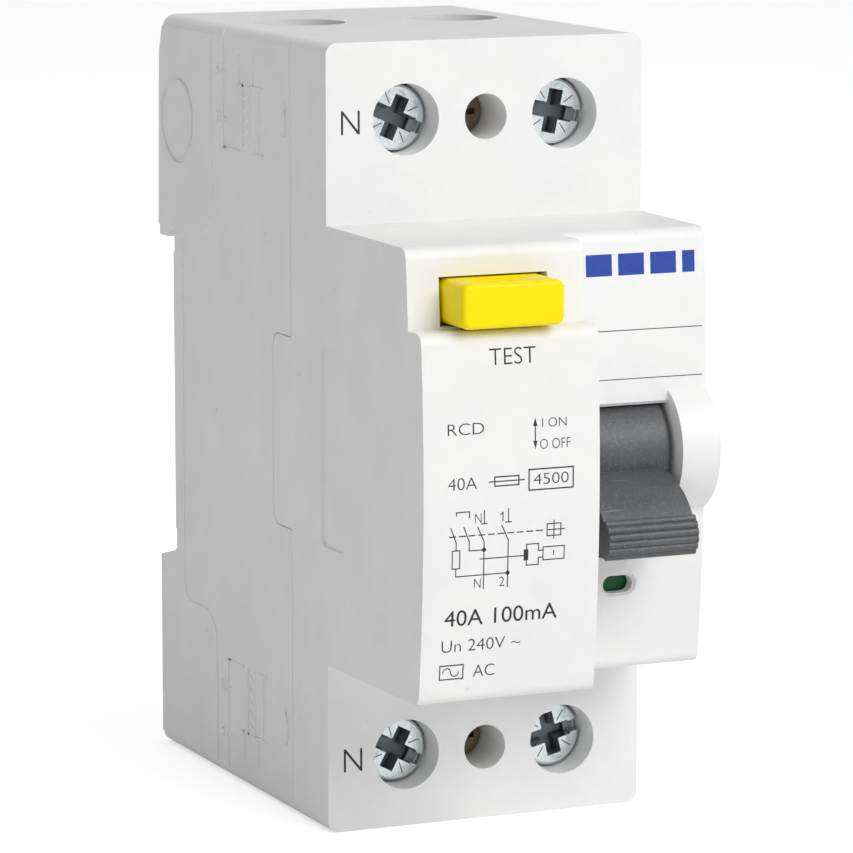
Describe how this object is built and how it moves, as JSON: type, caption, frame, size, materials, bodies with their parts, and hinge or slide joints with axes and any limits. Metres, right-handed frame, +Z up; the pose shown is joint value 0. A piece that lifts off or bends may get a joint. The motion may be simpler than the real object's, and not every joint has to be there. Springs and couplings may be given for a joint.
{
  "type": "residual current device",
  "caption": "Modular residual current device for a 35 mm rail, with cage terminals, a rocking handle, a test button, a state flag and its trip mechanism inside.",
  "frame": {"origin": "centre of the seat that lies on the mounting rail, on the rail centre line", "axes": "+Y out of the back towards the rail, +Z up, +X to the right seen from the front"},
  "size_m": [0.0358, 0.0731, 0.0814],
  "materials": {
    "casing_white": "satin moulded, fine spark texture",
    "clip_grey": "satin moulded",
    "handle_charcoal": "satin moulded with polished ribs",
    "button_yellow": "semi-gloss moulded",
    "flag_plastic": "satin, green and red halves",
    "zinc_steel": "bright zinc plate",
    "spring_steel": "drawn wire",
    "copper": "bare copper strip",
    "brass": "turned brass",
    "silver_tip": "silver alloy",
    "black_moulding": "glass-filled, dull",
    "fibre_board": "vulcanised fibre",
    "core_alloy": "wound ribbon",
    "enamel_wire": "enamelled copper wire",
    "wire_insulation": "insulated lead",
    "board_green": "solder mask",
    "component_body": "dipped components"
  },
  "bodies": {
    "housing": {"arc_chute_walls": "fibre_board", "arc_splitter_plates": "zinc_steel", "board_components": "component_body", "carrier_shaft": "zinc_steel", "circuit_board": "board_green", "cover_screws": "brass", "fixed_contact_l": "copper", "fixed_contact_n": "copper", "fixed_contact_tips": "silver_tip", "flexible_braid_l": "copper", "flexible_braid_n": "copper", "front_cover": "casing_white", "handle_shaft": "zinc_steel", "handle_spring": "spring_steel", "latch_pin": "zinc_steel", "load_bar_l": "copper", "load_bar_n": "copper", "mechanism_plates": "zinc_steel", "opening_spring": "spring_steel", "primary_conductor_l": "copper", "primary_conductor_n": "copper", "rear_base": "casing_white", "relay_case": "black_moulding", "relay_coil": "enamel_wire", "relay_magnet": "core_alloy", "relay_yoke": "zinc_steel", "secondary_winding": "enamel_wire", "sensor_leads": "wire_insulation", "test_button_spring": "spring_steel", "test_leads": "wire_insulation", "test_resistor": "component_body", "toroid_case": "black_moulding", "toroid_core": "core_alloy", "trip_lever_pin": "zinc_steel"},
    "handle": {"handle": "handle_charcoal", "crank_pin": "zinc_steel"},
    "handle_link": {"handle_link": "zinc_steel"},
    "contact_carrier": {"contact_carrier": "black_moulding", "moving_contact_n": "copper", "moving_contact_l": "copper", "moving_contact_tips": "silver_tip", "contact_springs": "spring_steel", "carrier_pin": "zinc_steel"},
    "indicator_flag": {"indicator_flag": "flag_plastic"},
    "trip_lever": {"trip_lever": "black_moulding"},
    "latch_lever": {"latch_lever": "zinc_steel"},
    "relay_armature": {"relay_armature": "zinc_steel"},
    "relay_plunger": {"relay_plunger": "brass"},
    "test_button": {"test_button": "button_yellow"},
    "test_contact_blade": {"test_contact_blade": "brass"},
    "rail_clip": {"rail_clip": "clip_grey"},
    "terminal_screw_supply_n": {"terminal_screw_supply_n": "zinc_steel"},
    "terminal_cage_supply_n": {"terminal_cage_supply_n": "zinc_steel"},
    "terminal_screw_supply_l": {"terminal_screw_supply_l": "zinc_steel"},
    "terminal_cage_supply_l": {"terminal_cage_supply_l": "zinc_steel"},
    "terminal_screw_load_n": {"terminal_screw_load_n": "zinc_steel"},
    "terminal_cage_load_n": {"terminal_cage_load_n": "zinc_steel"},
    "terminal_screw_load_l": {"terminal_screw_load_l": "zinc_steel"},
    "terminal_cage_load_l": {"terminal_cage_load_l": "zinc_steel"}
  },
  "joints": [
    {"name": "handle_turn", "type": "hinge", "parent": "housing", "child": "handle", "pos_m": [0.00735, -0.0548, 0], "axis": [-1, 0, 0], "range_deg": [0, 62]},
    {"name": "link_swing", "type": "hinge", "parent": "handle", "child": "handle_link", "pos_m": [0.00735, -0.05315, -0.00274], "axis": [-1, 0, 0], "range_deg": [-62, 0]},
    {"name": "carrier_swing", "type": "hinge", "parent": "housing", "child": "contact_carrier", "pos_m": [0, -0.014, -0.0041], "axis": [1, 0, 0], "range_deg": [0, 16], "deforming": ["opening_spring"]},
    {"name": "flag_turn", "type": "hinge", "parent": "housing", "child": "indicator_flag", "pos_m": [0.0083, -0.0513, -0.0137], "axis": [1, 0, 0], "range_deg": [0, 40]},
    {"name": "trip_turn", "type": "hinge", "parent": "housing", "child": "trip_lever", "pos_m": [-0.004, -0.04, -0.008], "axis": [-1, 0, 0], "range_deg": [0, 7]},
    {"name": "latch_turn", "type": "hinge", "parent": "housing", "child": "latch_lever", "pos_m": [0.0043, -0.033, 0.014], "axis": [1, 0, 0], "range_deg": [0, 8.4]},
    {"name": "armature_tilt", "type": "hinge", "parent": "housing", "child": "relay_armature", "pos_m": [-0.0088, -0.0509, -0.0084], "axis": [-1, 0, 0], "range_deg": [0, 6.5]},
    {"name": "plunger_travel", "type": "slide", "parent": "housing", "child": "relay_plunger", "axis": [0, 1, 0], "range_m": [0, 0.000977], "stiffness_N_per_m": 60, "springref_m": -0.0003},
    {"name": "button_travel", "type": "slide", "parent": "housing", "child": "test_button", "axis": [0, 1, 0], "range_m": [0, 0.002], "stiffness_N_per_m": 300, "springref_m": -0.001, "deforming": ["test_button_spring"]},
    {"name": "test_blade_bend", "type": "hinge", "parent": "housing", "child": "test_contact_blade", "pos_m": [-0.00843, -0.0522, 0.00895], "axis": [-1, 0, 0], "range_deg": [0, 16.5]},
    {"name": "clip_travel", "type": "slide", "parent": "housing", "child": "rail_clip", "axis": [0, 0, -1], "range_m": [0, 0.003]},
    {"name": "screw_turn_supply_n", "type": "hinge", "parent": "housing", "child": "terminal_screw_supply_n", "pos_m": [-0.0089, -0.03, 0.0331], "axis": [0, 1, 0], "range_deg": [0, 3150]},
    {"name": "cage_travel_supply_n", "type": "slide", "parent": "housing", "child": "terminal_cage_supply_n", "axis": [0, -1, 0], "range_m": [0, 0.007]},
    {"name": "screw_turn_supply_l", "type": "hinge", "parent": "housing", "child": "terminal_screw_supply_l", "pos_m": [0.0089, -0.03, 0.0331], "axis": [0, 1, 0], "range_deg": [0, 3150]},
    {"name": "cage_travel_supply_l", "type": "slide", "parent": "housing", "child": "terminal_cage_supply_l", "axis": [0, -1, 0], "range_m": [0, 0.007]},
    {"name": "screw_turn_load_n", "type": "hinge", "parent": "housing", "child": "terminal_screw_load_n", "pos_m": [-0.0089, -0.03, -0.0328], "axis": [0, 1, 0], "range_deg": [0, 3150]},
    {"name": "cage_travel_load_n", "type": "slide", "parent": "housing", "child": "terminal_cage_load_n", "axis": [0, -1, 0], "range_m": [0, 0.007]},
    {"name": "screw_turn_load_l", "type": "hinge", "parent": "housing", "child": "terminal_screw_load_l", "pos_m": [0.0089, -0.03, -0.0328], "axis": [0, 1, 0], "range_deg": [0, 3150]},
    {"name": "cage_travel_load_l", "type": "slide", "parent": "housing", "child": "terminal_cage_load_l", "axis": [0, -1, 0], "range_m": [0, 0.007]}
  ],
  "couplings": [
    {"joint": "link_swing", "follows": "handle_turn", "ratio": -1},
    {"joint": "carrier_swing", "follows": "handle_turn", "ratio": 0.25806},
    {"joint": "flag_turn", "follows": "handle_turn", "ratio": 0.64516},
    {"joint": "trip_turn", "follows": "plunger_travel", "rad_per_m": 125},
    {"joint": "latch_turn", "follows": "plunger_travel", "rad_per_m": 149.9},
    {"joint": "armature_tilt", "follows": "plunger_travel", "rad_per_m": 116},
    {"joint": "test_blade_bend", "follows": "button_travel", "rad_per_m": 143.98},
    {"joint": "screw_turn_supply_n", "follows": "cage_travel_supply_n", "rad_per_m": 7854},
    {"joint": "screw_turn_supply_l", "follows": "cage_travel_supply_l", "rad_per_m": 7854},
    {"joint": "screw_turn_load_n", "follows": "cage_travel_load_n", "rad_per_m": 7854},
    {"joint": "screw_turn_load_l", "follows": "cage_travel_load_l", "rad_per_m": 7854}
  ]
}
